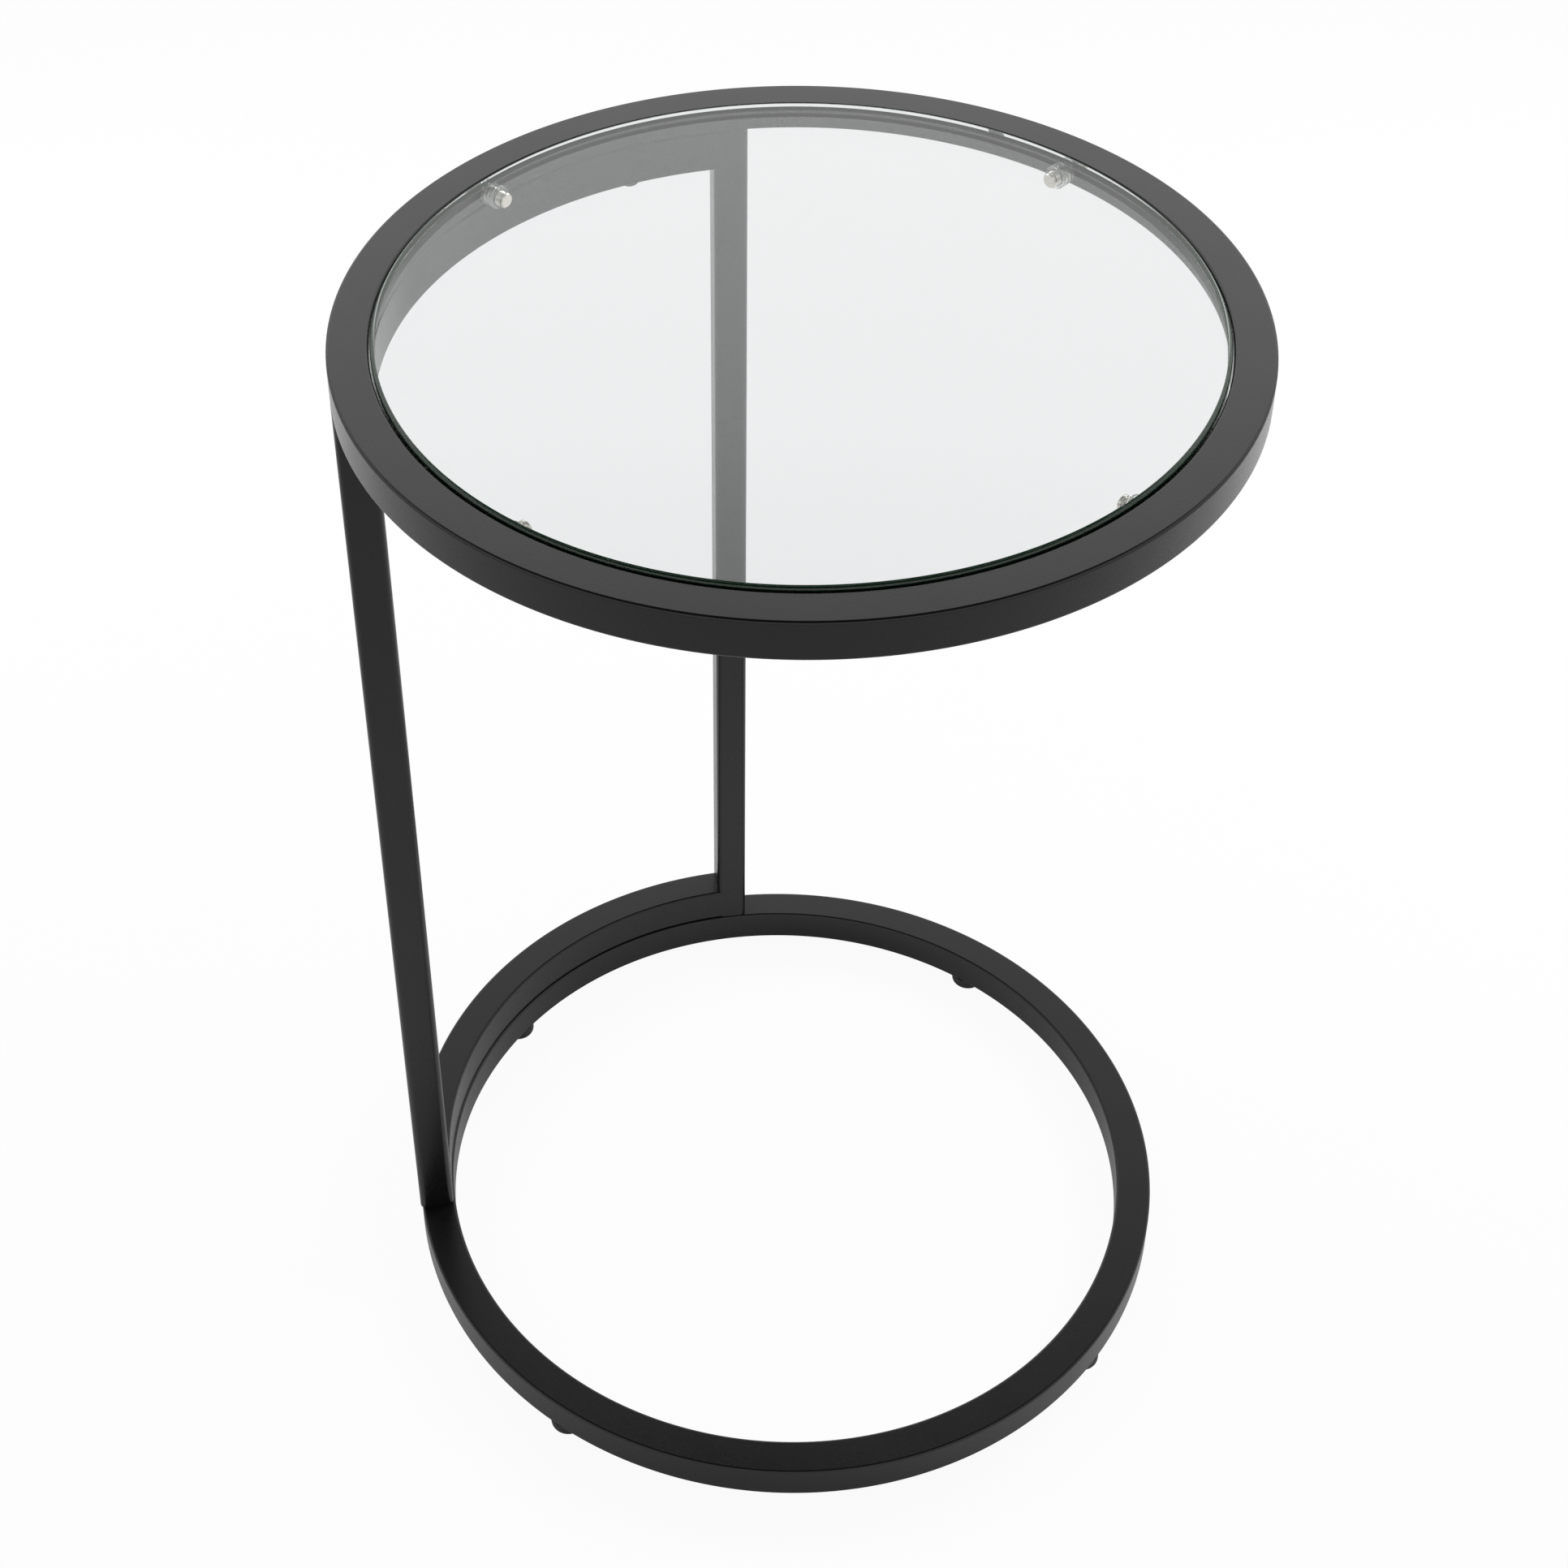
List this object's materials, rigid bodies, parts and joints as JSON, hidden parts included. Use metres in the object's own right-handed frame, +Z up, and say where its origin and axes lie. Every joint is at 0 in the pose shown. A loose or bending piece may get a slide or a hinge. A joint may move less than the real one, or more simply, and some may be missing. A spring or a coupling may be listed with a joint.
{
  "type": "c shaped side table",
  "caption": "Round glass-topped side table on a C-shaped frame: black square-tube rings above and below, joined at the back by a welded leg frame.",
  "frame": {"origin": "centre of the footprint, on the floor under the feet", "axes": "+Z up; the open side of the C faces -Y and the leg frame stands at +Y"},
  "size_m": [0.445, 0.445, 0.6425],
  "materials": {
    "black_powder_coat": "satin black powder coat on steel tube",
    "clear_glass": "clear tempered float glass, edge ground flat and polished, arrises rounded",
    "nickel_plate": "bright nickel plate on steel",
    "clear_vinyl": "soft clear moulded vinyl",
    "zinc_plate": "bright zinc plate on steel",
    "black_oxide": "black oxide on steel, slightly oily",
    "black_nylon": "moulded black nylon, matte"
  },
  "bodies": {
    "frame": {"base_bolt_1": "black_oxide", "base_bolt_2": "black_oxide", "base_insert_1": "zinc_plate", "base_insert_2": "zinc_plate", "base_ring": "black_powder_coat", "base_washer_1": "zinc_plate", "base_washer_2": "zinc_plate", "bottom_rail": "black_powder_coat", "foot_1": "black_nylon", "foot_2": "black_nylon", "foot_3": "black_nylon", "foot_4": "black_nylon", "foot_insert_1": "zinc_plate", "foot_insert_2": "zinc_plate", "foot_insert_3": "zinc_plate", "foot_insert_4": "zinc_plate", "foot_stud_1": "zinc_plate", "foot_stud_2": "zinc_plate", "foot_stud_3": "zinc_plate", "foot_stud_4": "zinc_plate", "pin_insert_1": "zinc_plate", "pin_insert_2": "zinc_plate", "pin_insert_3": "zinc_plate", "pin_insert_4": "zinc_plate", "pin_sleeve_1": "clear_vinyl", "pin_sleeve_2": "clear_vinyl", "pin_sleeve_3": "clear_vinyl", "pin_sleeve_4": "clear_vinyl", "support_pin_1": "nickel_plate", "support_pin_2": "nickel_plate", "support_pin_3": "nickel_plate", "support_pin_4": "nickel_plate", "top_bolt_1": "black_oxide", "top_bolt_2": "black_oxide", "top_insert_1": "zinc_plate", "top_insert_2": "zinc_plate", "top_rail": "black_powder_coat", "top_ring": "black_powder_coat", "top_washer_1": "zinc_plate", "top_washer_2": "zinc_plate", "upright_left": "black_powder_coat", "upright_right": "black_powder_coat"},
    "glass": {"glass_top": "clear_glass"}
  },
  "joints": [
    {"name": "glass_lift", "type": "slide", "parent": "frame", "child": "glass", "axis": [0, 0, 1], "range_m": [0, 0.06]}
  ]
}
